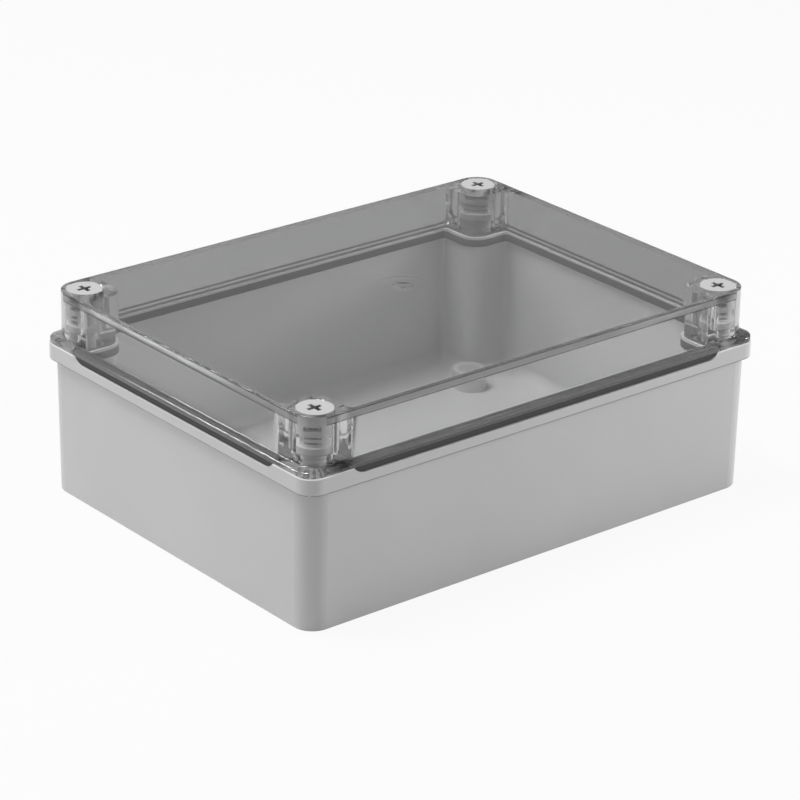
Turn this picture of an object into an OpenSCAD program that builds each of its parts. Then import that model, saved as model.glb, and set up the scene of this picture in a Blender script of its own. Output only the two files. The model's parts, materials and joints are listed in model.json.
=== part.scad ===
// Hinged enclosure: a deep moulded base and a clear high lid, held by four
// captive screws. The two screws on the far long side are two-piece hinge
// screws, whose studs draw out of the base and carry the lid as it swings.
// The long side lies along X, the hinge is on +Y, and Z = 0 is the underside.

/* [Screw rectangle] */
// Distance between the lid screws along the length
screw_pitch_l = 180.4; // [150:0.2:240]
// Distance between the lid screws along the width
screw_pitch_w = 130.4; // [110:0.2:190]

/* [Base] */
// Height of the base, up to the face that the lid rests on
base_h = 56.2; // [54:0.1:90]
// How far the base's foot reaches out past the screw line
base_reach = 9; // [8.6:0.1:10]
// Radius of the base's upright corners, at its foot
base_corner_r = 7.6; // [6:0.1:8.4]
// How much further out the wall is at its top, for the mould's draft
base_draft = 0.6; // [0:0.1:1]
// Thickness of the wall at its foot
base_wall = 2.2; // [2:0.1:2.6]
// Thickness of the floor
floor_t = 2.8; // [2:0.1:4]
// Radius round the outer edge of the underside
base_edge_r = 0.6; // [0.3:0.1:3]
// Radius between the floor and the walls, inside
floor_fillet = 4; // [1:0.5:5]

/* [Collar] */
// Height of the collar at its raised corners
collar_h = 6; // [4:0.1:7]
// How far the collar stands out from the wall
collar_out = 1.3; // [1.2:0.1:2]
// Radius of the collar's upright corners
collar_corner_r = 6.4; // [5:0.1:8]
// Radius of the collar's upper edge
collar_top_r = 0.4; // [0.2:0.1:1]
// Radius of the collar's lower edge
collar_low_r = 0.3; // [0.2:0.1:1]
// How far the collar drops between its corners
collar_drop = 2.4; // [1.6:0.1:2.8]
// How far the drop cuts into the wall behind the collar
drop_depth = 0.9; // [0.8:0.1:1.1]
// How far each raised corner runs past the screw line
pad_l = 7; // [4:0.5:20]
// Radius of the ramp at the end of a raised corner
pad_ramp_r = 6; // [3:0.5:10]

/* [Corner posts] */
// Distance from a screw to the inner faces of its post
post_reach = 10.2; // [9:0.1:11.6]
// Radius of a post's inner corner
post_corner_r = 6; // [5.6:0.1:8]
// Radius where a post meets the wall
post_fillet = 1.8; // [0.5:0.1:3]
// Diameter of the coring under a post
core_d = 13; // [8:0.5:15]
// Depth of the coring under a post
core_h = 13; // [5:0.5:14]

/* [Wall fixing] */
// Distance in from the lid screws to the wall-fixing holes, along the length
fixing_inset_l = 16.2; // [14:0.1:40]
// Distance in from the lid screws to the wall-fixing holes, along the width
fixing_inset_w = 16.2; // [14:0.1:40]
// Diameter of a wall-fixing hole
fixing_hole_d = 5.2; // [4:0.1:6]
// Diameter of the boss round a wall-fixing hole
fixing_boss_d = 12.4; // [12:0.1:16]
// Height of the boss above the floor
fixing_boss_h = 5.2; // [2:0.1:8]
// Diameter of the plug that covers the fixing screw
plug_d = 8.6; // [8:0.1:10]
// How far the plug's dome stands above the boss
plug_dome_h = 0.6; // [0.4:0.1:1.5]

/* [Lid] */
// Height of the lid
lid_h = 20.1; // [19:0.1:24]
// How far the lid's wall stands back from the top of the base's wall
lid_setback = 1.3; // [0.8:0.1:1.4]
// Thickness of the lid's wall
lid_wall = 2.5; // [1.8:0.1:3]
// Thickness of the lid's top
lid_top_t = 3; // [2:0.1:4]
// Radius round the lid's top edge
lid_edge_r = 0.3; // [0.2:0.1:1.6]
// How far the lid's foot stays back from the collar's outer face
foot_setback = 0.2; // [0:0.1:0.4]
// Height of the lid's foot, at the wall
foot_h = 2.6; // [2.4:0.1:4]
// Slope of the foot's top, in degrees
foot_slope = 18; // [5:1:25]
// Radius of the foot's upper edge
foot_edge_r = 0.9; // [0.3:0.1:1.1]
// Radius of the foot's lower edge
foot_low_r = 0.4; // [0.1:0.1:0.6]
// Radius where the wall meets the foot
foot_fillet = 0.5; // [0.2:0.1:1.2]
// Diameter of the dish round the moulding gate, on top of the lid
gate_d = 9; // [4:0.5:14]
// Depth of the dish
gate_depth = 0.3; // [0.2:0.1:0.8]
// Diameter of the gate's stub in the dish
gate_stub_d = 1.6; // [1:0.1:2]
// Diameter of the polished ring round the dish
gate_ring_d = 20; // [15:0.5:30]

/* [Gasket] */
// How far the gasket stays back from the foot's outer edge
seal_setback = 0.9; // [0.7:0.1:1.1]
// Distance from a screw to the gasket's outer edge where it goes round a post
seal_post_reach = 6.4; // [6.2:0.1:7]
// Height of the gasket, in its groove in the foot
gasket_h = 1; // [0.8:0.1:1.2]
// Thickness of the lip that hangs inside the base
lip_t = 0.8; // [0.6:0.1:0.9]
// How far the lip hangs below the foot
lip_drop = 2.8; // [1:0.1:3]
// Gap between the lip and the base's wall
lip_wall_gap = 0.6; // [0.6:0.1:0.9]
// Gap between the lip and a post
lip_post_gap = 0.3; // [0.3:0.1:0.6]
// Gap between the gasket's skirt and the lower stretch of the collar
skirt_gap = 0.15; // [0.1:0.05:0.3]
// Gap between the gasket's skirt and the base's wall
skirt_wall_gap = 0.4; // [0.4:0.1:0.5]
// How far the skirt stays back from the foot's outer edge
skirt_setback = 0.5; // [0.4:0.1:0.7]

/* [Screws] */
// Diameter of a screw's head
head_d = 12.5; // [11.6:0.1:12.7]
// Thickness of the head's disc, above the windows
head_t = 1.4; // [1.3:0.1:2]
// Height of the head and its windowed barrel
barrel_h = 7.6; // [7:0.1:8]
// Diameter of the neck under the barrel
neck_d = 10.1; // [9.4:0.1:11]
// Height of the neck
neck_h = 4.2; // [3:0.1:5]
// Diameter of the shank
shank_d = 7.7; // [7.4:0.1:7.8]
// Diameter of the well that takes the head
well_d = 13.4; // [13:0.1:14]
// Height of the ledge under the well, above the foot of the lid
ledge_h = 6; // [5:0.1:6.2]
// Play round the shank in the lid
shank_play = 0.45; // [0.3:0.05:0.6]
// Length of a lock screw below the lid
lock_reach = 11; // [8:0.5:14]
// Width of the cross recess, from tip to tip
recess_w = 5.9; // [4:0.1:7]
// Width of one arm of the cross recess
recess_arm = 1.6; // [0.8:0.1:1.8]
// Depth of the cross recess
recess_h = 3; // [1:0.1:4]
// Width of the cross recess at its bottom
recess_low_w = 2.6; // [1.6:0.1:3]
// Width of the windows in the barrel
window_w = 5.4; // [3:0.1:6]
// Height of an upper window in the barrel
window_h = 1.9; // [1:0.1:2.2]
// Height of a lower window in the barrel
low_window_h = 1.6; // [0.8:0.1:2]
// Height of the two slots round the neck
neck_slot_h = 0.8; // [0.4:0.1:1]
// Diameter of the core behind the windows and slots
window_core_d = 7.6; // [7:0.1:8]

/* [Sockets] */
// Outer diameter of the socket pressed into a post
socket_d = 12; // [11.4:0.1:12.6]
// Length of the socket
socket_l = 13.5; // [12:0.5:16]
// Bore of the socket
socket_bore_d = 8.8; // [8.6:0.1:9]

/* [Hinge] */
// Depth of the hinge pin below the face that the lid rests on
pivot_drop = 4.5; // [4.3:0.1:4.7]
// Diameter of the hinge pin
pin_d = 2.4; // [2:0.1:3]
// Running clearance round the pin in the stud's tongue
pin_play = 0.05; // [0.02:0.01:0.08]
// Radius of the tongue and the ears round the pin
knuckle_r = 3.2; // [2.8:0.1:3.3]
// Thickness of the stud's tongue
tongue_t = 2.8; // [2.2:0.1:3.2]
// Gap on each side of the tongue
tongue_gap = 0.15; // [0.1:0.05:0.3]
// Gap between the ears and the stud's shoulder
shoulder_gap = 0.3; // [0.2:0.05:0.4]
// Diameter of the stud
stud_d = 8; // [7.6:0.1:8.2]
// Travel of the stud out of the base
stud_travel = 22.5; // [22.4:0.1:24]
// Height of the flange that stops the stud
flange_h = 2; // [1.5:0.1:3]
// Diameter of the flange that stops the stud
flange_d = 9.8; // [9.4:0.1:10.4]

/* [Hidden] */
$fn = 96;

skin = 1;                                   // how far a cut runs past what it cuts
fit_gap = 0.02;                             // radial gap of a pressed piece
stop_gap = 0.6;                             // room round a stud's flange
ear_drop = 0.4;                             // from the lid's foot to the ears
screw_colour = "Gainsboro";
wall_colour = "LightGray";
clear_colour = [0.80, 0.84, 0.86, 0.35];

half_l = screw_pitch_l / 2;
half_w = screw_pitch_w / 2;
fixing_l = half_l - fixing_inset_l;
fixing_w = half_w - fixing_inset_w;
lid_top = base_h + lid_h;
wall_top_reach = base_reach + base_draft;
base_inner_reach = base_reach - base_wall;
collar_reach = wall_top_reach + collar_out;
wall_off = base_reach - base_corner_r;      // from the screws to the corners' centres
collar_off = collar_reach - collar_corner_r;
lid_reach = wall_top_reach - lid_setback;
lid_inner_reach = lid_reach - lid_wall;
foot_reach = collar_reach - foot_setback;
seal_reach = foot_reach - seal_setback;
lip_reach = base_inner_reach - lip_wall_gap;
ledge_z = base_h + ledge_h;
shoulder_z = lid_top - barrel_h - neck_h;
pivot_z = base_h - pivot_drop;
stud_shoulder_z = pivot_z - knuckle_r - shoulder_gap;
socket_z = base_h - socket_l;
flange_z = socket_z - stud_travel - flange_h - stop_gap;
stud_well_z = flange_z - skin;
stud_well_d = flange_d + stop_gap;
slot_t = tongue_t + 2 * tongue_gap;
ear_top_z = base_h - ear_drop;
boss_z = floor_t + fixing_boss_h;
plug_h = 1.6;                               // depth of the plug's seat
gate_ring_depth = 0.05;

// ---- placing -------------------------------------------------------------

// Puts a part made for the +X +Y corner at the corner named by two signs.
module at_corner(sx, sy) {
    translate([sx * half_l, sy * half_w, 0])
        mirror([sx < 0 ? 1 : 0, 0, 0])
            mirror([0, sy < 0 ? 1 : 0, 0])
                children();
}

// Puts a part at all four screws.
module at_corners() {
    for (sx = [-1, 1], sy = [-1, 1])
        at_corner(sx, sy) children();
}

// Distance from the middle to a side of the screw rectangle, and the length of
// that side. Sides 0 to 3 are +X, +Y, -X and -Y.
function side_reach(side) = side % 2 == 0 ? half_l : half_w;
function side_length(side) = side % 2 == 0 ? screw_pitch_w : screw_pitch_l;

// Length of the stretch of that side between the ramps, where the collar is low.
function low_length(side) = side_length(side) - 2 * (pad_l + pad_ramp_r);

// Puts a part on one side of the screw rectangle, where +X points outwards.
module at_side(side) {
    rotate([0, 0, 90 * side]) translate([side_reach(side), 0, 0]) children();
}

// Sweeps a profile round a rectangle that stands off the screw rectangle all
// round. The profile's X is the distance outwards from that rectangle, and its
// Y is the height.
module round_the_screws(off) {
    for (side = [0:3])
        at_side(side)
            translate([off, side_length(side) / 2 + off, 0]) {
                rotate([90, 0, 0]) linear_extrude(side_length(side) + 2 * off) children();
                rotate_extrude(angle = 90) children();
            }
}

// Fills the middle of a swept shape, inside that rectangle.
module middle(off, height) {
    translate([-half_l - off, -half_w - off, 0])
        cube([screw_pitch_l + 2 * off, screw_pitch_w + 2 * off, height]);
}

// ---- outlines ------------------------------------------------------------

// What a round edge takes off an upper right-hand corner at [x, y].
module edge_cut(x, y, r) {
    translate([x - r, y - r])
        difference() {
            square(r + skin);
            circle(r);
        }
}

// The same, off a lower right-hand corner at [x, y].
module low_edge_cut(x, y, r) {
    translate([x, y]) mirror([0, 1]) edge_cut(0, 0, r);
}

// What fills an inner corner at [x, y] to a round one. The corner's walls lie
// towards -X and -Y of it.
module corner_fill(x, y, r) {
    translate([x, y])
        difference() {
            square(r);
            translate([r, r]) circle(r);
        }
}

// Outline of one corner post, grown all round on its inner side: two faces with
// a round corner between them, and a fillet where each meets its wall.
module post_outline(reach, grow) {
    far = post_reach + grow;
    r = post_corner_r + grow;
    translate([r - far, r - far]) circle(r);
    translate([-far, r - far]) square([far + 2 * reach, far - r + 2 * reach]);
    translate([r - far, -far]) square([far - r + 2 * reach, far + 2 * reach]);
    for (turn = [0, 1])
        mirror([turn, -turn])
            translate([-far - post_fillet, reach - post_fillet])
                difference() {
                    square(post_fillet);
                    circle(post_fillet);
                }
}

// Outline of the space inside the walls and between the posts.
module cavity_outline(reach, grow) {
    difference() {
        square([screw_pitch_l + 2 * reach, screw_pitch_w + 2 * reach], center = true);
        for (sx = [-1, 1], sy = [-1, 1])
            translate([sx * half_l, sy * half_w])
                mirror([sx < 0 ? 1 : 0, 0])
                    mirror([0, sy < 0 ? 1 : 0])
                        post_outline(reach, grow);
    }
}

// A plan with corners that are round about the screws.
module round_corner_outline(reach) {
    square([screw_pitch_l + 2 * reach, screw_pitch_w], center = true);
    square([screw_pitch_l, screw_pitch_w + 2 * reach], center = true);
    for (sx = [-1, 1], sy = [-1, 1])
        translate([sx * half_l, sy * half_w]) circle(reach);
}

// The inner edge of the gasket, which is also the inner face of its lip.
module lip_inner_outline() {
    cavity_outline(lip_reach - lip_t, lip_post_gap + lip_t);
}

// The gasket in the lid's foot: a band that follows the walls and goes round
// the posts on the inside.
module seal_outline() {
    difference() {
        cavity_outline(seal_reach, seal_post_reach - post_reach);
        lip_inner_outline();
    }
}

// The gasket's lip, inside the base.
module lip_outline() {
    difference() {
        cavity_outline(lip_reach, lip_post_gap);
        lip_inner_outline();
    }
}

// Section through the base's wall.
module wall_section() {
    difference() {
        polygon([
            [0, 0], [base_corner_r, 0], [base_corner_r, base_edge_r],
            [base_corner_r + base_draft, base_h], [0, base_h]
        ]);
        low_edge_cut(base_corner_r, 0, base_edge_r);
    }
}

// Section through the collar.
module collar_section() {
    difference() {
        translate([0, base_h - collar_h]) square([collar_corner_r, collar_h]);
        low_edge_cut(collar_corner_r, base_h - collar_h, collar_low_r);
        edge_cut(collar_corner_r, base_h, collar_top_r);
    }
}

// Section through the lid's wall and top.
module lid_section() {
    difference() {
        square([lid_reach, lid_h]);
        edge_cut(lid_reach, lid_h, lid_edge_r);
    }
    corner_fill(lid_reach, foot_h, foot_fillet);
}

// Section through the lid's foot, whose top slopes down to a round edge.
module foot_section() {
    out = foot_reach - collar_off;
    start = lid_reach + foot_fillet - collar_off;
    edge_x = out - foot_edge_r;
    tangent_x = edge_x + foot_edge_r * sin(foot_slope);
    tangent_y = foot_h - (tangent_x - start) * tan(foot_slope);
    edge_y = tangent_y - foot_edge_r * cos(foot_slope);
    difference() {
        union() {
            polygon([
                [0, 0], [out, 0], [out, edge_y], [edge_x, edge_y],
                [tangent_x, tangent_y], [start, foot_h], [0, foot_h]
            ]);
            translate([edge_x, edge_y]) circle(foot_edge_r);
        }
        low_edge_cut(out, 0, foot_low_r);
    }
}

// ---- base ----------------------------------------------------------------

// The stretch along one side where the collar is lower, seen from that side
// and drawn smaller all round by a gap.
module drop_outline(side, gap) {
    flat = low_length(side);
    low = base_h - collar_drop;
    r = pad_ramp_r - gap;
    translate([-flat / 2, low + gap]) square([flat, 2 * r]);
    for (end = [-1, 1])
        translate([end * flat / 2, low + pad_ramp_r]) circle(r);
}

// What lowers the collar between its corners.
module collar_drops() {
    for (side = [0:3])
        at_side(side)
            translate([wall_top_reach - drop_depth, 0, 0])
                rotate([90, 0, 90])
                    linear_extrude(drop_depth + collar_out + skin) drop_outline(side, 0);
}

// Rounds the inner edge between the floor and the walls and posts. The slab
// keeps the runs along the posts within the walls.
module floor_fillets() {
    intersection() {
        union() {
            for (side = [0:3])
                at_side(side)
                    floor_fillet_run(side_length(side)) floor_fillet_section(-base_inner_reach);
            at_corners() post_fillet_run();
        }
        linear_extrude(floor_t + floor_fillet) round_corner_outline(base_inner_reach + skin);
    }
}

// A straight run of the fillet along Y. Its section grows towards -X.
module floor_fillet_run(length) {
    translate([0, length / 2, floor_t - skin])
        rotate([90, 0, 0]) linear_extrude(length) mirror([1, 0]) children();
}

// The fillet along a post's two inner faces and round the corner between them.
module post_fillet_run() {
    straight = post_reach - post_corner_r + base_inner_reach;
    bend = post_corner_r - post_reach;
    for (turn = [0, 1])
        mirror([turn, -turn])
            translate([bend, bend + straight / 2, 0])
                floor_fillet_run(straight) floor_fillet_section(post_corner_r);
    translate([bend, bend, floor_t - skin])
        rotate([0, 0, 180]) rotate_extrude(angle = 90) floor_fillet_section(post_corner_r);
}

// Section of the fillet, standing on the floor from a wall at the given X.
module floor_fillet_section(x) {
    translate([x - skin, 0]) square([skin + floor_fillet, skin]);
    translate([x - skin, 0]) square([skin, skin + floor_fillet]);
    corner_fill(x, skin, floor_fillet);
}

// What is bored out of one post: the socket's seat, the stud's well below it
// and the coring under the post.
module post_bores() {
    translate([0, 0, socket_z]) cylinder(d = socket_d, h = socket_l + skin);
    translate([0, 0, stud_well_z]) cylinder(d = stud_well_d, h = socket_z - stud_well_z + skin);
    translate([0, 0, -skin]) cylinder(d = core_d, h = core_h + skin);
}

// Puts a part at each wall-fixing hole.
module at_fixings() {
    for (sx = [-1, 1], sy = [-1, 1])
        at_fixing(sx, sy) children();
}

module at_fixing(sx, sy) {
    translate([sx * fixing_l, sy * fixing_w, 0]) children();
}

module base_shell() {
    color(wall_colour)
        difference() {
            union() {
                difference() {
                    union() {
                        round_the_screws(wall_off) wall_section();
                        middle(wall_off, base_h);
                        round_the_screws(collar_off) collar_section();
                    }
                    translate([0, 0, floor_t])
                        linear_extrude(base_h) cavity_outline(base_inner_reach, 0);
                    collar_drops();
                }
                floor_fillets();
                at_fixings() cylinder(d = fixing_boss_d, h = boss_z);
            }
            at_corners() post_bores();
            at_fixings() {
                translate([0, 0, -skin]) cylinder(d = fixing_hole_d, h = boss_z + 2 * skin);
                translate([0, 0, boss_z - plug_h]) cylinder(d = plug_d, h = plug_h + skin);
            }
        }
}

// A domed plug that covers the head of a wall-fixing screw.
module fixing_plug() {
    r = plug_d / 2 - fit_gap;
    dome_r = (r * r + plug_dome_h * plug_dome_h) / (2 * plug_dome_h);
    color("DimGray")
        translate([0, 0, boss_z - plug_h])
            difference() {
                union() {
                    cylinder(r = r, h = plug_h);
                    intersection() {
                        cylinder(r = r, h = plug_h + plug_dome_h);
                        translate([0, 0, plug_h + plug_dome_h - dome_r]) sphere(dome_r, $fn = 96);
                    }
                }
                translate([0, 0, -skin]) cylinder(r = r - 1.4, h = plug_h);
            }
}

// A sleeve pressed into a post, which guides a screw and stops the stud's flange.
module screw_socket() {
    lead = 0.5;
    bore_r = socket_bore_d / 2;
    color(screw_colour)
        rotate_extrude()
            polygon([
                [bore_r, socket_z], [socket_d / 2 - fit_gap, socket_z],
                [socket_d / 2 - fit_gap, base_h], [bore_r + lead, base_h],
                [bore_r, base_h - lead]
            ]);
}

// ---- lid -----------------------------------------------------------------

// The gate's dish, a shallow cap of a ball, and the ring polished round it.
module gate_dish() {
    r = gate_d / 2;
    ball_r = (r * r + gate_depth * gate_depth) / (2 * gate_depth);
    translate([0, 0, lid_top - gate_depth + ball_r]) sphere(ball_r);
    translate([0, 0, lid_top - gate_ring_depth]) cylinder(d = gate_ring_d, h = skin);
}

module lid_shell() {
    color(clear_colour) {
        difference() {
            translate([0, 0, base_h]) {
                round_the_screws(0) lid_section();
                middle(0, lid_h);
                round_the_screws(collar_off) foot_section();
            }
            translate([0, 0, base_h - skin]) {
                linear_extrude(lid_h - lid_top_t + skin) cavity_outline(lid_inner_reach, 0);
                linear_extrude(gasket_h + skin) seal_outline();
            }
            at_corners() {
                translate([0, 0, ledge_z]) cylinder(d = well_d, h = lid_h);
                translate([0, 0, base_h - skin])
                    cylinder(d = shank_d + 2 * shank_play, h = lid_h);
            }
            gate_dish();
        }
        translate([0, 0, lid_top - lid_top_t / 2])
            cylinder(d = gate_stub_d, h = lid_top_t / 2 - gate_ring_depth);
    }
}

// The skirt along one side, which fills the gap over the lower stretch of the
// collar. Its root stands inside the gasket and the skirt and makes them one.
module gasket_skirt(side) {
    inner = wall_top_reach - drop_depth + skirt_wall_gap;
    root_t = (seal_reach - inner) / 2;
    at_side(side) {
        translate([inner, 0, 0])
            rotate([90, 0, 90])
                linear_extrude(foot_reach - skirt_setback - inner)
                    intersection() {
                        drop_outline(side, skirt_gap);
                        translate([-side_length(side) / 2, 0]) square([side_length(side), base_h]);
                    }
        translate([inner + root_t / 2, -low_length(side) / 2, base_h - collar_drop / 2])
            cube([root_t, low_length(side), (collar_drop + gasket_h) / 2]);
    }
}

module lid_gasket() {
    color("DarkSlateGray") {
        translate([0, 0, base_h]) linear_extrude(gasket_h) seal_outline();
        translate([0, 0, base_h - lip_drop]) linear_extrude(lip_drop + gasket_h) lip_outline();
        for (side = [0:3]) gasket_skirt(side);
    }
}

// ---- screws --------------------------------------------------------------

// Cuts in from the side down to the core, at a given height and in a number of
// directions from 45 degrees on.
module windows(z, height, count) {
    for (turn = [0:count - 1])
        rotate([0, 0, 45 + turn * 360 / count])
            translate([-window_w / 2, window_core_d / 2, z]) cube([window_w, head_d, height]);
}

// One slanting arm of the cross recess, from tip to tip.
module recess_slot() {
    rotate([90, 0, 0])
        translate([0, lid_top, -recess_arm / 2])
            linear_extrude(recess_arm)
                polygon([
                    [-recess_w / 2, skin], [-recess_w / 2, 0], [-recess_low_w / 2, -recess_h],
                    [recess_low_w / 2, -recess_h], [recess_w / 2, 0], [recess_w / 2, skin]
                ]);
}

// Head, windowed barrel and neck, which lock screws and hinge screws share.
module screw_top() {
    barrel_z = lid_top - barrel_h;
    rim = 0.3;
    difference() {
        union() {
            translate([0, 0, lid_top - head_t]) cylinder(d = head_d, h = head_t);
            translate([0, 0, barrel_z]) cylinder(d = head_d - rim, h = barrel_h);
            translate([0, 0, shoulder_z]) cylinder(d = neck_d, h = neck_h);
        }
        windows(lid_top - head_t - window_h, window_h, 2);
        windows(barrel_z + low_window_h, low_window_h, 4);
        windows(barrel_z - 2 * neck_slot_h, neck_slot_h, 4);
        windows(shoulder_z + neck_slot_h, neck_slot_h, 4);
        for (turn = [0, 90])
            rotate([0, 0, turn]) recess_slot();
        translate([0, 0, lid_top - recess_h]) cylinder(d = recess_low_w, h = recess_h + skin, $fn = 48);
    }
}

module lock_screw() {
    tip = 1;
    low = base_h - lock_reach;
    color(screw_colour)
        union() {
            screw_top();
            translate([0, 0, low + tip]) cylinder(d = shank_d, h = shoulder_z - low - tip);
            translate([0, 0, low]) cylinder(d1 = shank_d - 2 * tip, d2 = shank_d, h = tip);
        }
}

// The upper half of a hinge screw: its shank ends in two ears round the pin.
module hinge_screw_head() {
    color(screw_colour)
        difference() {
            union() {
                screw_top();
                translate([0, 0, ear_top_z]) cylinder(d = shank_d, h = shoulder_z - ear_top_z);
                intersection() {
                    translate([0, 0, pivot_z - knuckle_r]) cylinder(d = shank_d, h = pivot_drop + knuckle_r);
                    union() {
                        translate([-shank_d / 2, 0, pivot_z])
                            rotate([0, 90, 0]) cylinder(r = knuckle_r, h = shank_d);
                        translate([-shank_d / 2, -knuckle_r, pivot_z])
                            cube([shank_d, 2 * knuckle_r, ear_top_z - pivot_z]);
                    }
                }
            }
            translate([-slot_t / 2, -shank_d, pivot_z - 2 * knuckle_r])
                cube([slot_t, 2 * shank_d, 3 * knuckle_r + 0.5]);
            pin_bore(fit_gap);
        }
}

// The hole for the hinge pin, with a radial gap round it.
module pin_bore(gap) {
    translate([-shank_d, 0, pivot_z])
        rotate([0, 90, 0]) cylinder(r = pin_d / 2 + gap, h = 2 * shank_d);
}

module hinge_pin() {
    half = sqrt(pow(shank_d / 2, 2) - pow(pin_d / 2, 2)) - 0.05;
    color("Silver")
        translate([-half, 0, pivot_z])
            rotate([0, 90, 0]) cylinder(d = pin_d, h = 2 * half);
}

// The lower half of a hinge screw: a stud with a tongue on the pin and a
// flange that the socket stops.
module hinge_stud() {
    color(screw_colour)
        difference() {
            union() {
                translate([0, 0, flange_z]) cylinder(d = flange_d, h = flange_h);
                translate([0, 0, flange_z]) cylinder(d = stud_d, h = stud_shoulder_z - flange_z);
                translate([-tongue_t / 2, -knuckle_r, stud_shoulder_z - skin])
                    cube([tongue_t, 2 * knuckle_r, pivot_z - stud_shoulder_z + skin]);
                translate([-tongue_t / 2, 0, pivot_z])
                    rotate([0, 90, 0]) cylinder(r = knuckle_r, h = tongue_t);
            }
            pin_bore(pin_play);
        }
}

// A washer between the ledge in the lid and a screw's shoulder.
module screw_washer() {
    color(screw_colour)
        translate([0, 0, ledge_z])
            difference() {
                cylinder(d = well_d - 0.6, h = shoulder_z - ledge_z);
                translate([0, 0, -skin]) cylinder(d = shank_d + 0.5, h = lid_h);
            }
}

// ---- nodes ---------------------------------------------------------------

module screw_socket_front_left() at_corner(-1, -1) screw_socket();
module screw_socket_front_right() at_corner(1, -1) screw_socket();
module screw_socket_rear_left() at_corner(-1, 1) screw_socket();
module screw_socket_rear_right() at_corner(1, 1) screw_socket();
module fixing_plug_front_left() at_fixing(-1, -1) fixing_plug();
module fixing_plug_front_right() at_fixing(1, -1) fixing_plug();
module fixing_plug_rear_left() at_fixing(-1, 1) fixing_plug();
module fixing_plug_rear_right() at_fixing(1, 1) fixing_plug();
module hinge_stud_left() at_corner(-1, 1) hinge_stud();
module hinge_stud_right() at_corner(1, 1) hinge_stud();
module hinge_screw_head_left() at_corner(-1, 1) hinge_screw_head();
module hinge_screw_head_right() at_corner(1, 1) hinge_screw_head();
module hinge_pin_left() at_corner(-1, 1) hinge_pin();
module hinge_pin_right() at_corner(1, 1) hinge_pin();
module screw_washer_front_left() at_corner(-1, -1) screw_washer();
module screw_washer_front_right() at_corner(1, -1) screw_washer();
module screw_washer_rear_left() at_corner(-1, 1) screw_washer();
module screw_washer_rear_right() at_corner(1, 1) screw_washer();
module lock_screw_left() at_corner(-1, -1) lock_screw();
module lock_screw_right() at_corner(1, -1) lock_screw();

base_shell();
screw_socket_front_left();
screw_socket_front_right();
screw_socket_rear_left();
screw_socket_rear_right();
fixing_plug_front_left();
fixing_plug_front_right();
fixing_plug_rear_left();
fixing_plug_rear_right();
hinge_stud_left();
hinge_stud_right();
lid_shell();
lid_gasket();
hinge_screw_head_left();
hinge_screw_head_right();
hinge_pin_left();
hinge_pin_right();
screw_washer_front_left();
screw_washer_front_right();
screw_washer_rear_left();
screw_washer_rear_right();
lock_screw_left();
lock_screw_right();
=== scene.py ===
"""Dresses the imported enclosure: finishes, screw threads, studio and camera.

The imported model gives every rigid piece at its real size. This script gives
each piece its finish, winds the threads that ride with the screws, and sets
the studio and the camera.
"""

from __future__ import annotations

import json
import logging
import math
from dataclasses import dataclass, field
from enum import Enum

import bpy
from mathutils import Matrix, Vector


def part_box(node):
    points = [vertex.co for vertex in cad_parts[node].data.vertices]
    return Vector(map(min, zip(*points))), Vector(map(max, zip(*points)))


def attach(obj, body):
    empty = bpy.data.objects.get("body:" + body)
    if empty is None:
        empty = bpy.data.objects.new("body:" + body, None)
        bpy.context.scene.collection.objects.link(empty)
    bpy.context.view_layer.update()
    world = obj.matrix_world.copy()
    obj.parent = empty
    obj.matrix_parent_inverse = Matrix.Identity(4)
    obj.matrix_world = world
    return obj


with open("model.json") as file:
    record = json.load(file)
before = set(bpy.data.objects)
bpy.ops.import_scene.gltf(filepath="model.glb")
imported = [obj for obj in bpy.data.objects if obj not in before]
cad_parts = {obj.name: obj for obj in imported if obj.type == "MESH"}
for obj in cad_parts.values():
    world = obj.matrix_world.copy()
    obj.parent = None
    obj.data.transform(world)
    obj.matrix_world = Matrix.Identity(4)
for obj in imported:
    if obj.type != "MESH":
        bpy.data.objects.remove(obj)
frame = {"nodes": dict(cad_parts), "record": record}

LOG = logging.getLogger("enclosure")
MM = 0.001
Colour = tuple[float, float, float]


class Slot(Enum):
    """The record's material slots."""

    BASE = "base_grey"
    LID = "lid_clear"
    GASKET = "gasket_rubber"
    SCREW = "screw_grey"
    PLUG = "plug_grey"
    PIN = "pin_steel"


class Socket(Enum):
    """Names of the Principled shader's sockets that the finishes set."""

    COLOUR = "Base Color"
    ROUGHNESS = "Roughness"
    METALLIC = "Metallic"
    IOR = "IOR"
    TRANSMISSION = "Transmission Weight"
    SPECULAR = "Specular IOR Level"
    NORMAL = "Normal"


def centre(box: tuple[Vector, Vector]) -> Vector:
    """Gives the middle of a box."""
    return (Vector(box[0]) + Vector(box[1])) / 2


class NodeSheet:
    """A short way to write a node tree."""

    def __init__(self, tree: bpy.types.NodeTree) -> None:
        """Starts on a tree.

        Args:
            tree: The node tree to write.
        """
        self.tree = tree

    def add(self, kind: str, **values: object) -> bpy.types.Node:
        """Adds a node and sets its attributes.

        Args:
            kind: The node's type, such as ShaderNodeBump.
            **values: Attributes of the node.

        Returns:
            The new node.
        """
        node = self.tree.nodes.new(kind)
        for name, value in values.items():
            setattr(node, name, value)
        return node

    def join(self, source: bpy.types.NodeSocket, target: bpy.types.NodeSocket) -> None:
        """Links one socket to another."""
        self.tree.links.new(source, target)

    def math(self, operation: str, *terms: object) -> bpy.types.NodeSocket:
        """Adds a sum, product or other operation.

        Args:
            operation: The Math node's operation.
            *terms: Its terms, each a socket or a number.

        Returns:
            The result's socket.
        """
        node = self.add("ShaderNodeMath", operation=operation)
        for socket, term in zip(node.inputs, terms):
            if isinstance(term, bpy.types.NodeSocket):
                self.join(term, socket)
            else:
                socket.default_value = term
        return node.outputs["Value"]


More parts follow.
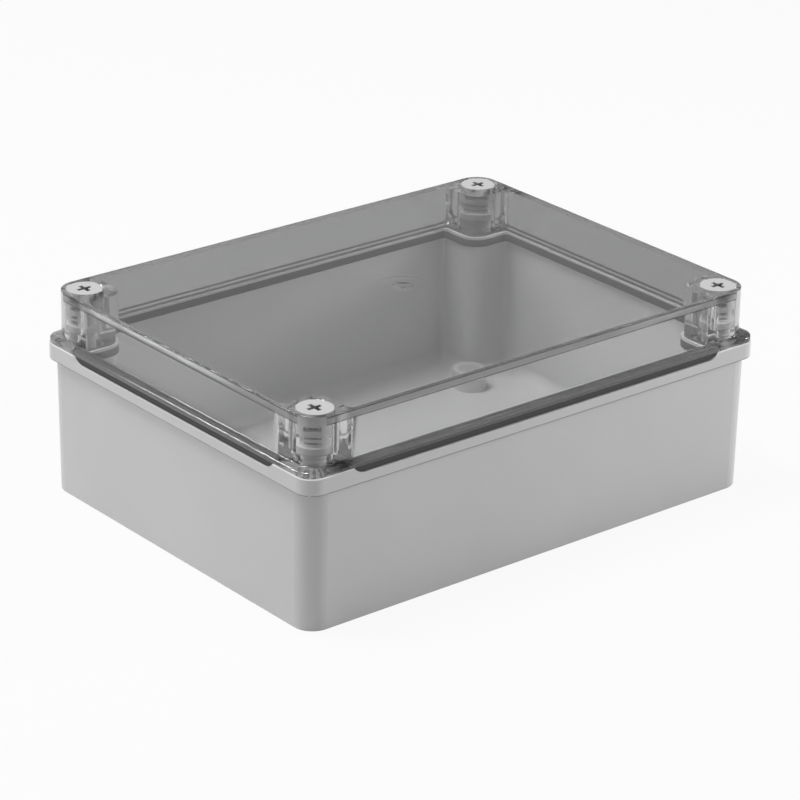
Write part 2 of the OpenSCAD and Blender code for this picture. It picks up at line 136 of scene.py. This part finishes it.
class ShaderSheet(NodeSheet):
    """The node tree of a new material."""

    NOISE_RANGE = (0.3, 0.7)
    MIX_SHARE, MIX_FIRST, MIX_SECOND, MIX_RESULT = 0, 6, 7, 2

    def __init__(self, name: str) -> None:
        """Makes a material with an empty tree.

        Args:
            name: The material's name.
        """
        self.material = bpy.data.materials.new(name)
        self.material.use_nodes = True
        super().__init__(self.material.node_tree)
        self.tree.nodes.clear()

    def place(self) -> bpy.types.NodeSocket:
        """Gives the object coordinates."""
        return self.add("ShaderNodeTexCoord").outputs["Object"]

    def noise(
        self, scale: float, detail: float, where: bpy.types.NodeSocket
    ) -> bpy.types.NodeSocket:
        """Adds a noise texture on given coordinates.

        Args:
            scale: How many features go to a metre.
            detail: The number of octaves.
            where: The socket that gives the coordinates.

        Returns:
            The noise's value.
        """
        noise = self.add("ShaderNodeTexNoise")
        noise.inputs["Scale"].default_value = scale
        noise.inputs["Detail"].default_value = detail
        self.join(where, noise.inputs["Vector"])
        return noise.outputs["Fac"]

    def spread(
        self, value: bpy.types.NodeSocket, low: float, high: float
    ) -> bpy.types.NodeSocket:
        """Maps a noise value to a range.

        Args:
            value: The noise's value, mostly within NOISE_RANGE.
            low: What the least noise becomes.
            high: What the most noise becomes.

        Returns:
            The mapped socket.
        """
        mapped = self.add("ShaderNodeMapRange")
        bounds = dict(zip(("From Min", "From Max", "To Min", "To Max"),
                          (*self.NOISE_RANGE, low, high)))
        for name, bound in bounds.items():
            mapped.inputs[name].default_value = bound
        self.join(value, mapped.inputs["Value"])
        return mapped.outputs["Result"]

    def within(
        self, value: bpy.types.NodeSocket, low: float, high: float, soft: float
    ) -> bpy.types.NodeSocket:
        """Gives 1 where a value lies between two bounds, with soft ends.

        Args:
            value: The value's socket.
            low: The lower bound.
            high: The upper bound.
            soft: How far each end fades.

        Returns:
            The share, from 0 to 1.
        """
        middle, half = (low + high) / 2, (high - low) / 2
        off = self.math("ABSOLUTE", self.math("SUBTRACT", value, middle))
        inside = self.math("DIVIDE", self.math("SUBTRACT", half, off), soft)
        return self.math("MINIMUM", self.math("MAXIMUM", inside, 0.0), 1.0)

    def blend(
        self, share: bpy.types.NodeSocket, first: object, second: object
    ) -> bpy.types.NodeSocket:
        """Mixes two colours.

        Args:
            share: How much of the second colour shows.
            first: A colour, or the socket of one.
            second: A colour, or the socket of one.

        Returns:
            The mixed colour.
        """
        mix = self.add("ShaderNodeMix", data_type="RGBA")
        self.join(share, mix.inputs[self.MIX_SHARE])
        for number, colour in ((self.MIX_FIRST, first), (self.MIX_SECOND, second)):
            if isinstance(colour, bpy.types.NodeSocket):
                self.join(colour, mix.inputs[number])
            else:
                mix.inputs[number].default_value = (*colour, 1)
        return mix.outputs[self.MIX_RESULT]

    def bump(
        self, height: bpy.types.NodeSocket, strength: float, distance: float
    ) -> bpy.types.NodeSocket:
        """Turns a height into a bumped normal.

        Args:
            height: The height's socket.
            strength: How strongly the bumps show, up to 1.
            distance: The height of a full bump, in metres.

        Returns:
            The normal's socket.
        """
        bump = self.add("ShaderNodeBump")
        bump.inputs["Strength"].default_value = strength
        bump.inputs["Distance"].default_value = distance
        self.join(height, bump.inputs["Height"])
        return bump.outputs["Normal"]

    def principled(self, values: dict[Socket, object]) -> bpy.types.NodeSocket:
        """Adds the Principled shader.

        Args:
            values: What each socket takes: another socket, or a plain value.

        Returns:
            The shader's socket.
        """
        shader = self.add("ShaderNodeBsdfPrincipled")
        for socket, value in values.items():
            if isinstance(value, bpy.types.NodeSocket):
                self.join(value, shader.inputs[socket.value])
            else:
                shader.inputs[socket.value].default_value = value
        return shader.outputs["BSDF"]

    def mix_shaders(
        self,
        share: bpy.types.NodeSocket,
        first: bpy.types.NodeSocket,
        second: bpy.types.NodeSocket,
    ) -> bpy.types.NodeSocket:
        """Mixes two shaders.

        Args:
            share: How much of the second shader shows.
            first: The first shader.
            second: The second shader.

        Returns:
            The mixed shader.
        """
        mix = self.add("ShaderNodeMixShader")
        for socket, source in zip(mix.inputs, (share, first, second)):
            self.join(source, socket)
        return mix.outputs["Shader"]

    def finish(self, surface: bpy.types.NodeSocket) -> bpy.types.Material:
        """Ends the tree.

        Args:
            surface: The shader of the surface.

        Returns:
            The finished material.
        """
        out = self.add("ShaderNodeOutputMaterial")
        self.join(surface, out.inputs["Surface"])
        return self.material


@dataclass(frozen=True)
class Zone:
    """A part of a moulding that takes a tone of its own, which here paints light or shade.

    The zone lies between two heights, and between two distances that are
    measured outwards from the screw line or from the nearest screw's axis.
    """

    colour: Colour
    low: float
    high: float
    inner: float = -1.0
    outer: float = 1.0
    about_screw: bool = False
    soft: float = 0.1 * MM

    def share(self, sheet: ShaderSheet, place: bpy.types.NodeSocket) -> bpy.types.NodeSocket:
        """Gives 1 inside the zone and 0 outside it.

        Args:
            sheet: The material's node sheet.
            place: The object coordinates.

        Returns:
            The share's socket.
        """
        screw = centre(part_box("lock_screw_right"))
        parts = sheet.add("ShaderNodeSeparateXYZ")
        sheet.join(place, parts.inputs["Vector"])
        off = [
            sheet.math("SUBTRACT", sheet.math("ABSOLUTE", parts.outputs[axis]), abs(distance))
            for axis, distance in (("X", screw.x), ("Y", screw.y))
        ]
        if self.about_screw:
            squares = [sheet.math("MULTIPLY", side, side) for side in off]
            reach = sheet.math("SQRT", sheet.math("ADD", *squares))
        else:
            reach = sheet.math("MAXIMUM", *off)
        high = sheet.within(parts.outputs["Z"], self.low, self.high, self.soft)
        out = sheet.within(reach, self.inner, self.outer, self.soft)
        return sheet.math("MULTIPLY", high, out)


class ShapeTree(NodeSheet):
    """A Geometry Nodes tree with named inputs, built and run in code."""

    def __init__(self, name: str) -> None:
        """Starts a tree that gives out one geometry.

        Args:
            name: The tree's name.
        """
        super().__init__(bpy.data.node_groups.new(name, "GeometryNodeTree"))
        self.new_socket("Geometry", "OUTPUT", "NodeSocketGeometry")
        self.given = self.add("NodeGroupInput")
        self.identifiers: dict[str, str] = {}

    def new_socket(self, name: str, way: str, kind: str) -> str:
        """Adds an input or an output to the tree's interface.

        Args:
            name: The socket's name.
            way: INPUT or OUTPUT.
            kind: The socket's type.

        Returns:
            The identifier under which a modifier keeps the socket's value.
        """
        return self.tree.interface.new_socket(name, in_out=way, socket_type=kind).identifier

    def size(self, name: str, kind: str = "NodeSocketFloat") -> bpy.types.NodeSocket:
        """Adds a named input.

        Args:
            name: The input's name.
            kind: The type of its socket.

        Returns:
            The socket that gives the input's value.
        """
        self.identifiers[name] = self.new_socket(name, "INPUT", kind)
        return self.given.outputs[name]

    def finish(self, geometry: bpy.types.NodeSocket, material: bpy.types.Material) -> None:
        """Ends the tree in real, smooth, dressed geometry.

        Args:
            geometry: The socket of the finished shape.
            material: Its finish.
        """
        for kind in ("RealizeInstances", "SetShadeSmooth", "SetMaterial"):
            step = self.add(f"GeometryNode{kind}")
            self.join(geometry, step.inputs["Geometry"])
            geometry = step.outputs["Geometry"]
        step.inputs["Material"].default_value = material
        self.join(geometry, self.add("NodeGroupOutput").inputs["Geometry"])

    def make(self, name: str, values: dict[str, object]) -> bpy.types.Object:
        """Runs the tree once and keeps the result as a plain mesh.

        Args:
            name: The new piece's name.
            values: A value for each named input.

        Returns:
            The new piece, at the origin.
        """
        label = f"{name}_carrier"
        carrier = bpy.data.objects.new(label, bpy.data.meshes.new(label))
        bpy.context.scene.collection.objects.link(carrier)
        modifier = carrier.modifiers.new("shape", "NODES")
        modifier.node_group = self.tree
        for key, value in values.items():
            modifier[self.identifiers[key]] = value
        graph = bpy.context.evaluated_depsgraph_get()
        mesh = bpy.data.meshes.new_from_object(carrier.evaluated_get(graph))
        carrier.modifiers.remove(modifier)
        bpy.data.objects.remove(carrier)
        piece = bpy.data.objects.new(name, mesh)
        bpy.context.scene.collection.objects.link(piece)
        return piece


@dataclass(frozen=True)
class MouldedPlastic:
    """Opaque injection-moulded plastic with a fine spark-eroded grain."""

    name: str
    colour: Colour
    roughness: float = 0.42
    roughness_spread: float = 0.05
    specular: float = 0.5
    grain_scale: float = 2600.0
    grain_detail: float = 2.0
    grain_height: float = 0.01 * MM
    grain_strength: float = 0.25
    flow_scale: float = 26.0
    flow_detail: float = 3.0
    flow_tone: float = 0.02
    zones: tuple[Zone, ...] = ()

    def build(self) -> bpy.types.Material:
        """Makes the material.

        Returns:
            A material with grain in its bump, slight flow marks in its tone,
            and in each zone a tone that paints light or shade.
        """
        sheet = ShaderSheet(self.name)
        place = sheet.place()
        flow = sheet.noise(self.flow_scale, self.flow_detail, place)
        darker, lighter = (
            [part * (1 + change) for part in self.colour]
            for change in (-self.flow_tone, self.flow_tone)
        )
        colour = sheet.blend(sheet.spread(flow, 0.0, 1.0), darker, lighter)
        for zone in self.zones:
            colour = sheet.blend(zone.share(sheet, place), colour, zone.colour)
        grain = sheet.noise(self.grain_scale, self.grain_detail, place)
        smoothest, roughest = (
            self.roughness + change for change in (-self.roughness_spread, self.roughness_spread)
        )
        return sheet.finish(sheet.principled({
            Socket.SPECULAR: self.specular,
            Socket.COLOUR: colour,
            Socket.ROUGHNESS: sheet.spread(grain, smoothest, roughest),
            Socket.NORMAL: sheet.bump(grain, self.grain_strength, self.grain_height),
        }))


@dataclass(frozen=True)
class ClearPolycarbonate:
    """Polished clear polycarbonate with a neutral tint, partly its own slight absorption and partly
    painted shade for the darker surroundings seen through the lid.

    Light runs on inside the lid's top edges. They take a rougher, darker strip between two
    near-black lines, on all that lies beyond edge_inner from the screw line; the darker strip and
    the lines are painted shade for the dark look that refraction gives these edges.
    """

    name: str = "clear_polycarbonate"
    # Partly painted shade: the tint darkens all seen through the lid for darker surroundings,
    # beyond the polycarbonate's own slight absorption.
    tint: Colour = (0.53, 0.53, 0.535)
    shadow_tint: Colour = (0.95, 0.95, 0.95)
    ior: float = 1.585
    roughness: float = 0.015
    ripple_scale: float = 55.0
    ripple_detail: float = 1.0
    ripple_height: float = 0.04 * MM
    ripple_strength: float = 0.2
    edge_roughness: float = 0.3
    # Painted shade: the darker strip and the near-black lines along the lid's top edges.
    edge_shade_tint: Colour = (0.22, 0.22, 0.22)
    line_shade_tint: Colour = (0.015, 0.015, 0.015)
    edge_h: float = 3.1 * MM
    line_h: float = 0.45 * MM
    edge_inner: float = 8.1 * MM

    def edge_zone(self, colour: Colour, low: float, high: float) -> Zone:
        """Makes a zone on the lid's top edges.

        Args:
            colour: The zone's tint.
            low: How far its lower end lies below the lid's top.
            high: How far its upper end lies below the lid's top.

        Returns:
            The zone.
        """
        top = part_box("lid_shell")[1][2]
        return Zone(colour, top - low, top - high, inner=self.edge_inner)

    def build(self) -> bpy.types.Material:
        """Makes the material.

        Returns:
            A refractive material that lets the lamps' light through.
        """
        # The strip and its two lines paint the shade that refraction gives the top edges; the strip
        # is also rougher.
        half_line = self.line_h / 2
        strip = self.edge_zone(self.edge_shade_tint, self.edge_h, self.line_h)
        lines = (
            self.edge_zone(self.line_shade_tint, 2 * self.line_h, half_line),
            self.edge_zone(self.line_shade_tint, self.edge_h + half_line, self.edge_h - half_line),
        )
        sheet = ShaderSheet(self.name)
        place = sheet.place()
        share = strip.share(sheet, place)
        colour = sheet.blend(share, self.tint, strip.colour)
        for line in lines:
            colour = sheet.blend(line.share(sheet, place), colour, line.colour)
        ripple = sheet.noise(self.ripple_scale, self.ripple_detail, place)
        clear = sheet.principled({
            Socket.COLOUR: colour,
            Socket.ROUGHNESS: sheet.math(
                "MULTIPLY_ADD", share, self.edge_roughness, self.roughness
            ),
            Socket.IOR: self.ior,
            Socket.TRANSMISSION: 1.0,
            Socket.NORMAL: sheet.bump(ripple, self.ripple_strength, self.ripple_height),
        })
        through = sheet.add("ShaderNodeBsdfTransparent")
        through.inputs["Color"].default_value = (*self.shadow_tint, 1)
        shadow_ray = sheet.add("ShaderNodeLightPath").outputs["Is Shadow Ray"]
        return sheet.finish(sheet.mix_shaders(shadow_ray, clear, through.outputs["BSDF"]))


@dataclass(frozen=True)
class DrawnSteel:
    """Plain drawn steel, with fine lines along X."""

    name: str = "drawn_steel"
    colour: Colour = (0.56, 0.56, 0.57)
    roughness: float = 0.3
    smoother: float = 0.08
    rougher: float = 0.1
    line_scale: float = 4000.0
    line_detail: float = 2.0
    line_stretch: tuple[float, float, float] = (0.05, 1.0, 1.0)

    def build(self) -> bpy.types.Material:
        """Makes the material.

        Returns:
            A metal whose roughness varies in lines along the pin.
        """
        sheet = ShaderSheet(self.name)
        stretch = sheet.add("ShaderNodeMapping")
        stretch.inputs["Scale"].default_value = self.line_stretch
        sheet.join(sheet.place(), stretch.inputs["Vector"])
        lines = sheet.noise(self.line_scale, self.line_detail, stretch.outputs["Vector"])
        low, high = self.roughness - self.smoother, self.roughness + self.rougher
        return sheet.finish(sheet.principled({
            Socket.COLOUR: (*self.colour, 1),
            Socket.METALLIC: 1.0,
            Socket.ROUGHNESS: sheet.spread(lines, low, high),
        }))


@dataclass(frozen=True)
class StudioSweep:
    """The pale floor, which stays white to the eye and keeps the shadow."""

    name: str = "studio_floor"
    colour: Colour = (0.5, 0.5, 0.5)
    glow_share: float = 0.92

    def build(self) -> bpy.types.Material:
        """Makes the material.

        Returns:
            A pale diffuse floor with a white share for seen rays.
        """
        sheet = ShaderSheet(self.name)
        pale = sheet.add("ShaderNodeBsdfDiffuse")
        pale.inputs["Color"].default_value = (*self.colour, 1)
        glow = sheet.add("ShaderNodeEmission")
        path = sheet.add("ShaderNodeLightPath")
        seen = path.outputs["Is Camera Ray"]
        for ray in ("Is Glossy Ray", "Is Transmission Ray"):
            seen = sheet.math("MAXIMUM", seen, path.outputs[ray])
        share = sheet.math("MULTIPLY", seen, self.glow_share)
        return sheet.finish(
            sheet.mix_shaders(share, pale.outputs["BSDF"], glow.outputs["Emission"])
        )


@dataclass
class Finishes:
    """All finishes, made once.

    The heights say how far a zone's ends lie below the seat, where the lid
    stands on the base, or below the lid's top. The reaches are distances from
    the screw line or from a screw's axis.
    """

    base_tone: Colour = (0.56, 0.56, 0.56)
    # Painted shade: a dark band along the collar's lower outer edge, for the shadow line under the
    # collar.
    collar_shadow_tone: Colour = (0.18, 0.18, 0.18)
    collar_shadow_below_seat: tuple[float, float] = (6.25 * MM, 5.6 * MM)
    collar_shadow_reach: float = 9.3 * MM
    # The gasket paints light and shade: its dark tone, partly the rubber's own and partly painted
    # shade, fills the gap under the lid's foot; above the seat, seen through the foot, it is
    # painted lighter.
    foam_and_gap_shade_tone: Colour = (0.07, 0.07, 0.07)
    lit_foam_top_tone: Colour = (0.5, 0.5, 0.5)
    head_tone: Colour = (0.46, 0.46, 0.457)
    # Painted light: the screw barrels inside the clear lid are paler than the heads of the same
    # nylon.
    lit_barrel_tone: Colour = (0.8, 0.8, 0.79)
    barrel_below_seat: float = 20 * MM
    head_h: float = 0.35 * MM
    # Painted shade: darker in the hollow core of the screws' windows.
    window_shade_tone: Colour = (0.3, 0.3, 0.3)
    windows_below_top: tuple[float, float] = (12 * MM, 1.3 * MM)
    window_reach: float = 4.1 * MM
    # Painted shade: darker in the cross recess of each screw head.
    recess_shade_tone: Colour = (0.2, 0.2, 0.2)
    recess_below_top: tuple[float, float] = (3.5 * MM, 0.15 * MM)
    recess_reach: float = 3.4 * MM
    plug_tone: Colour = (0.4, 0.4, 0.4)
    made: dict[Slot, bpy.types.Material] = field(default_factory=dict)

    def build(self) -> None:
        """Makes the material of every slot."""
        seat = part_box("lid_shell")[0][2]
        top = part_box("lid_shell")[1][2]
        # Painted shade under the collar's lower edge.
        collar_shadow = Zone(
            self.collar_shadow_tone,
            *(seat - depth for depth in self.collar_shadow_below_seat),
            inner=self.collar_shadow_reach,
        )
        # Painted light: the gasket above the seat is lighter than below it.
        lit_foam_top = Zone(self.lit_foam_top_tone, seat, top)
        # Painted light on the screw barrels.
        lit_barrel = Zone(self.lit_barrel_tone, seat - self.barrel_below_seat, top - self.head_h)
        # Painted shade in the windows' core.
        shaded_windows = Zone(
            self.window_shade_tone,
            *(top - depth for depth in self.windows_below_top),
            outer=self.window_reach,
            about_screw=True,
        )
        # Painted shade in the cross recess.
        shaded_recess = Zone(
            self.recess_shade_tone,
            *(top - depth for depth in self.recess_below_top),
            outer=self.recess_reach,
            about_screw=True,
        )
        self.made = {
            Slot.BASE: MouldedPlastic("base_plastic", self.base_tone, zones=(collar_shadow,)).build(),
            Slot.LID: ClearPolycarbonate().build(),
            Slot.GASKET: MouldedPlastic(
                "gasket_foam",
                self.foam_and_gap_shade_tone,
                roughness=0.8,
                specular=0.2,
                grain_height=0.08 * MM,
                zones=(lit_foam_top,),
            ).build(),
            Slot.SCREW: MouldedPlastic(
                "screw_nylon",
                self.head_tone,
                roughness=0.36,
                grain_height=0.006 * MM,
                zones=(lit_barrel, shaded_windows, shaded_recess),
            ).build(),
            Slot.PLUG: MouldedPlastic("plug_plastic", self.plug_tone, roughness=0.55).build(),
            Slot.PIN: DrawnSteel().build(),
        }

    def dress_nodes(self) -> None:
        """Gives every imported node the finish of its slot."""
        slots = {s["node"]: s["material_slot"] for s in frame["record"]["subparts"]}
        for name, piece in frame["nodes"].items():
            material = self.made[Slot(slots[name])]
            piece.data.materials.clear()
            piece.data.materials.append(material)
            LOG.info("%s is finished as %s", name, material.name)


@dataclass
class ScrewThreads:
    """The coarse rolled threads on the shanks of the four lid screws."""

    pitch: float = 2.8 * MM
    rib: float = 0.34 * MM
    run_out: float = 0.12
    sides: int = 8
    steps_a_turn: int = 48
    shank_radius: float = 3.85 * MM
    foot_gap: float = 1.2 * MM
    shoulder_gap: float = 0.6 * MM
    lock_turn_low: float = 2.0 * MM
    top_to_shoulder: float = 11.8 * MM

    def tree(self, material: bpy.types.Material) -> ShapeTree:
        """Builds the tree that winds a rib round one or two shanks.

        Args:
            material: The screws' finish.

        Returns:
            The tree, with inputs for where the ribs start and how far they go.
        """
        shape = ShapeTree("screw_thread")
        start = shape.size("Start", "NodeSocketVector")
        step = shape.size("Step", "NodeSocketVector")
        count = shape.size("Count", "NodeSocketInt")
        height = shape.size("Height")
        pitch = shape.size("Pitch")
        radius = shape.size("Shank Radius")
        rib = shape.size("Rib")

        spiral = shape.add("GeometryNodeCurveSpiral")
        spiral.inputs["Resolution"].default_value = self.steps_a_turn
        shape.join(shape.math("DIVIDE", height, pitch), spiral.inputs["Rotations"])
        shape.join(radius, spiral.inputs["Start Radius"])
        shape.join(radius, spiral.inputs["End Radius"])
        shape.join(height, spiral.inputs["Height"])

        along = shape.add("GeometryNodeSplineParameter").outputs["Factor"]
        from_end = shape.math("MINIMUM", along, shape.math("SUBTRACT", 1.0, along))
        full = shape.math("MINIMUM", shape.math("DIVIDE", from_end, self.run_out), 1.0)
        tapered = shape.add("GeometryNodeSetCurveRadius")
        shape.join(spiral.outputs["Curve"], tapered.inputs["Curve"])
        shape.join(full, tapered.inputs["Radius"])

        outline = shape.add("GeometryNodeCurvePrimitiveCircle")
        outline.inputs["Resolution"].default_value = self.sides
        shape.join(rib, outline.inputs["Radius"])
        sweep = shape.add("GeometryNodeCurveToMesh")
        sweep.inputs["Fill Caps"].default_value = True
        shape.join(tapered.outputs["Curve"], sweep.inputs["Curve"])
        shape.join(outline.outputs["Curve"], sweep.inputs["Profile Curve"])

        shanks = shape.add("GeometryNodeMeshLine", mode="OFFSET")
        shape.join(count, shanks.inputs["Count"])
        shape.join(start, shanks.inputs["Start Location"])
        shape.join(step, shanks.inputs["Offset"])
        placed = shape.add("GeometryNodeInstanceOnPoints")
        shape.join(shanks.outputs["Mesh"], placed.inputs["Points"])
        shape.join(sweep.outputs["Mesh"], placed.inputs["Instance"])
        shape.finish(placed.outputs["Instances"], material)
        return shape

    def wind(self, tree: ShapeTree, name: str, body: str, nodes: list[str], low: float) -> None:
        """Winds the thread of the screws on one body.

        Args:
            tree: The thread's tree.
            name: The new piece's name.
            body: The body that the piece rides on.
            nodes: The screws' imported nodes, one or two.
            low: The height at which the thread starts, in metres.
        """
        boxes = [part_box(node) for node in nodes]
        axes = [centre(box) for box in boxes]
        shoulder = boxes[0][1][2] - self.top_to_shoulder
        piece = tree.make(name, {
            "Start": Vector((axes[0].x, axes[0].y, low)),
            "Step": Vector((axes[-1].x - axes[0].x, axes[-1].y - axes[0].y, 0)),
            "Count": len(nodes),
            "Height": shoulder - self.shoulder_gap - low,
            "Pitch": self.pitch,
            "Shank Radius": self.shank_radius,
            "Rib": self.rib,
        })
        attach(piece, body)
        LOG.info("%s rides on %s with %d faces", name, body, len(piece.data.polygons))

    def build(self, material: bpy.types.Material) -> None:
        """Winds the threads of all four screws.

        Args:
            material: The screws' finish.
        """
        tree = self.tree(material)
        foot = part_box("lid_shell")[0][2]
        for side in ("left", "right"):
            screw = f"lock_screw_{side}"
            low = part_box(screw)[0][2] + self.lock_turn_low
            self.wind(tree, f"lock_thread_{side}", f"lock_{side}", [screw], low)
        hinge = ["hinge_screw_head_left", "hinge_screw_head_right"]
        self.wind(tree, "hinge_threads", "lid", hinge, foot + self.foot_gap)


@dataclass(frozen=True)
class SoftBox:
    """A square area lamp that faces the enclosure.

    The place and the aim are in metres, the side too, and the power in watts.
    """

    name: str
    place: tuple[float, float, float]
    side: float
    power: float
    aim: tuple[float, float, float] = (0.0, 0.0, 0.04)

    def hang(self) -> None:
        """Hangs the lamp in the scene, hidden from rays that went through the lid."""
        light = bpy.data.lights.new(self.name, "AREA")
        light.shape = "RECTANGLE"
        light.size = light.size_y = self.side
        light.energy = self.power
        lamp = bpy.data.objects.new(self.name, light)
        lamp.location = self.place
        facing = Vector(self.aim) - Vector(self.place)
        lamp.rotation_euler = facing.to_track_quat("-Z", "Y").to_euler()
        lamp.visible_transmission = False
        bpy.context.scene.collection.objects.link(lamp)


@dataclass
class Studio:
    """Floor, world, lamps and camera, with angles in degrees and the lens in mm."""

    floor_half: float = 4.0
    bounces: int = 32
    world_level: float = 0.42
    boxes: tuple[SoftBox, ...] = (
        SoftBox("high_box", (-0.34, 0.28, 1.26), 0.5, 13.4),
        SoftBox("left_box", (-0.94, 0.93, 0.52), 0.25, 5.2),
        SoftBox("right_box", (0.67, -0.38, 0.25), 0.15, 3.2),
    )
    target: tuple[float, float, float] = (-3.26 * MM, -3.48 * MM, 35.0 * MM)
    distance: float = 1223.2 * MM
    azimuth: float = 39.73
    elevation: float = 23.32
    roll: float = 1.11
    lens: float = 155.4
    sensor_width: float = 36.0
    clip_end: float = 50.0

    def build(self) -> None:
        """Makes the whole studio."""
        self.build_floor()
        self.build_world()
        for box in self.boxes:
            box.hang()
        self.build_camera()
        self.lengthen_paths()

    def lengthen_paths(self) -> None:
        """Lets light that runs on inside the clear lid's edges get out again."""
        paths = bpy.context.scene.cycles
        paths.max_bounces = self.bounces
        paths.glossy_bounces = self.bounces
        paths.transmission_bounces = self.bounces

    def build_floor(self) -> None:
        """Makes the floor that the enclosure stands on."""
        half = self.floor_half
        ring = [(-half, -half, 0), (half, -half, 0), (half, half, 0), (-half, half, 0)]
        mesh = bpy.data.meshes.new("floor")
        mesh.from_pydata(ring, [], [tuple(range(len(ring)))])
        floor = bpy.data.objects.new("floor", mesh)
        bpy.context.scene.collection.objects.link(floor)
        floor.data.materials.append(StudioSweep().build())

    def build_world(self) -> None:
        """Makes the plain grey surroundings."""
        world = bpy.data.worlds.new("studio")
        bpy.context.scene.world = world
        world.use_nodes = True
        ground = world.node_tree.nodes["Background"]
        ground.inputs["Color"].default_value = (1, 1, 1, 1)
        ground.inputs["Strength"].default_value = self.world_level

    def build_camera(self) -> None:
        """Sets the camera on its target."""
        turn, down = math.radians(self.azimuth), math.radians(self.elevation)
        level_share = math.cos(down)
        forward = Vector(
            (math.sin(turn) * level_share, math.cos(turn) * level_share, -math.sin(down))
        )
        camera = bpy.data.objects.new("camera", bpy.data.cameras.new("camera"))
        camera.data.lens = self.lens
        camera.data.sensor_width = self.sensor_width
        camera.data.clip_end = self.clip_end
        camera.matrix_world = (
            Matrix.Translation(Vector(self.target) - forward * self.distance)
            @ forward.to_track_quat("-Z", "Y").to_matrix().to_4x4()
            @ Matrix.Rotation(math.radians(self.roll), 4, "Z")
        )
        bpy.context.scene.collection.objects.link(camera)
        bpy.context.scene.camera = camera


def main() -> None:
    """Builds the studio and dresses the enclosure."""
    logging.basicConfig(level=logging.INFO, format="%(name)s: %(message)s")
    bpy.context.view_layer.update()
    bpy.context.scene.view_settings.view_transform = "Standard"
    studio = Studio()
    studio.build()
    finishes = Finishes()
    finishes.build()
    finishes.dress_nodes()
    ScrewThreads().build(finishes.made[Slot.SCREW])


if __name__ == "__main__":
    main()
